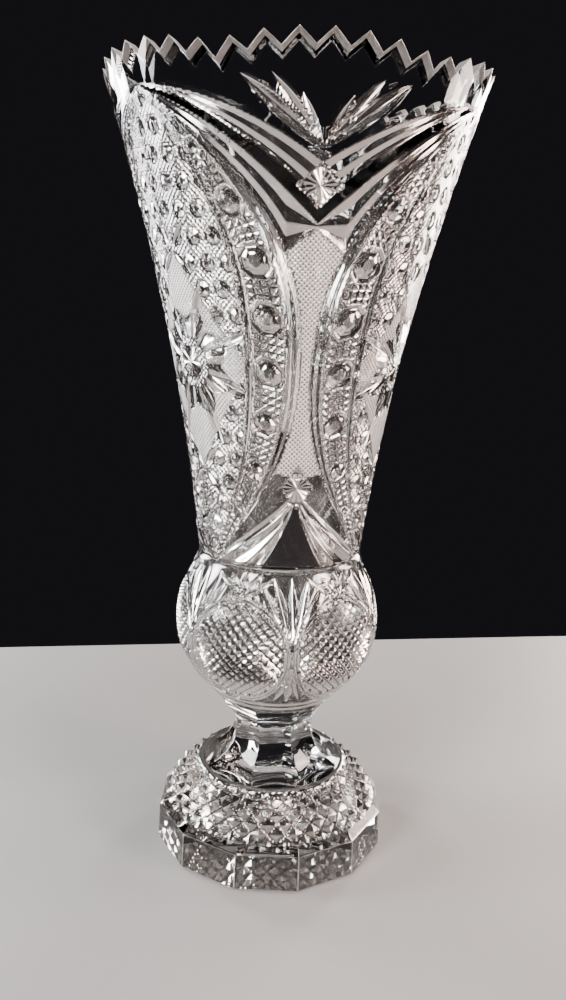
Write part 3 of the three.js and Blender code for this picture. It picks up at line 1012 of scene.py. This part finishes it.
def pale_plaster(name):
    """A plain warm off-white, matt, with a faint cloudiness."""
    material, start = start_material(name)
    place = start.node("ShaderNodeTexCoord").outputs["Object"]
    clouds = start.node("ShaderNodeTexNoise", Vector=place, Scale=5.0, Detail=2.0)
    clouds = Value(start.tree, clouds.outputs["Fac"])
    shade = start.node(
        "ShaderNodeMix",
        {"data_type": "RGBA"},
        Factor=clouds,
        i6=(0.40, 0.392, 0.388, 1),
        i7=(0.44, 0.432, 0.428, 1),
    )
    paint = start.node("ShaderNodeBsdfPrincipled", Base_Color=shade.outputs[2], Roughness=0.6)
    output = start.node("ShaderNodeOutputMaterial")
    start.tree.links.new(paint.outputs[0], output.inputs["Surface"])
    return material


table_mesh.materials.append(pale_plaster("pale_table"))

# ---- Light and camera ----
# Plain soft boxes round the vase against a dark room, so that each cut edge picks up light.
# The camera stands a little left of the fan's middle, above the bulb and below the rim.


def soft_box(name, azimuth, distance, height, size, power, colour):
    """A square soft light at an azimuth, distance and height, turned to face the vase's middle."""
    lamp = bpy.data.lights.new(name, "AREA")
    lamp.shape = "RECTANGLE"
    lamp.size, lamp.size_y = size
    lamp.energy = power
    lamp.color = colour
    box = bpy.data.objects.new(name, lamp)
    a = math.radians(azimuth)
    place = np.array([distance * math.sin(a), -distance * math.cos(a), height])
    back = place - np.array([0, 0, 0.16])
    back = back / np.linalg.norm(back)
    side = np.cross([0, 0, 1], back)
    side = side / np.linalg.norm(side)
    up = np.cross(back, side)
    rows = [(side[k], up[k], back[k], place[k]) for k in range(3)]
    box.matrix_world = mathutils.Matrix([*rows, (0, 0, 0, 1)])
    bpy.context.scene.collection.objects.link(box)
    box.visible_camera = False


soft_box("key_box", -46, 0.85, 0.36, (0.24, 0.46), 6.5, (1.0, 0.98, 0.95))
soft_box("fill_box", 52, 0.85, 0.34, (0.24, 0.46), 6.2, (1.0, 0.80, 0.71))
soft_box("left_box", -100, 0.70, 0.36, (0.18, 0.38), 4.0, (0.97, 0.98, 1.0))
soft_box("right_box", 100, 0.70, 0.36, (0.18, 0.38), 2.3, (1.0, 0.84, 0.77))
soft_box("left_rim_box", -138, 0.75, 0.30, (0.15, 0.40), 3.5, (0.94, 0.97, 1.0))
soft_box("right_rim_box", 138, 0.75, 0.30, (0.15, 0.40), 3.5, (1.0, 0.92, 0.87))
soft_box("top_box", 20, 0.25, 0.95, (0.25, 0.25), 2.5, (1.0, 0.98, 0.96))

room = bpy.data.worlds.new("room")
room.use_nodes = True
room.node_tree.nodes["Background"].inputs["Color"].default_value = (0.014, 0.013, 0.016, 1)
room.node_tree.nodes["Background"].inputs["Strength"].default_value = 1.0
bpy.context.scene.world = room

camera_azimuth = math.radians(-8.7)
camera_distance = 0.360
camera_height = 0.231
camera_yaw = math.radians(0.12)
camera_pitch = math.radians(-13.2)
camera_roll = math.radians(2.21)
camera_focal = 915.0

forward = np.array(
    [
        math.sin(camera_yaw) * math.cos(camera_pitch),
        math.cos(camera_yaw) * math.cos(camera_pitch),
        math.sin(camera_pitch),
    ]
)
level_right = np.array([math.cos(camera_yaw), -math.sin(camera_yaw), 0.0])
level_up = np.cross(level_right, forward)
rolled_right = level_right * math.cos(camera_roll) + level_up * math.sin(camera_roll)
rolled_up = -level_right * math.sin(camera_roll) + level_up * math.cos(camera_roll)
turn = np.array(
    [
        [math.cos(camera_azimuth), -math.sin(camera_azimuth), 0],
        [math.sin(camera_azimuth), math.cos(camera_azimuth), 0],
        [0, 0, 1],
    ]
)
axes = turn @ np.stack([rolled_right, rolled_up, -forward], axis=-1)
stand = turn @ np.array([0, -camera_distance, camera_height])
lens = bpy.data.cameras.new("camera")
lens.sensor_fit = "VERTICAL"
lens.sensor_height = 36.0
lens.lens = camera_focal / 1000 * 36.0
lens.clip_start = 0.01
camera = bpy.data.objects.new("camera", lens)
camera.matrix_world = mathutils.Matrix([(*axes[k], stand[k]) for k in range(3)] + [(0, 0, 0, 1)])
bpy.context.scene.collection.objects.link(camera)
bpy.context.scene.camera = camera
bpy.context.scene.view_settings.look = "AgX - Medium High Contrast"
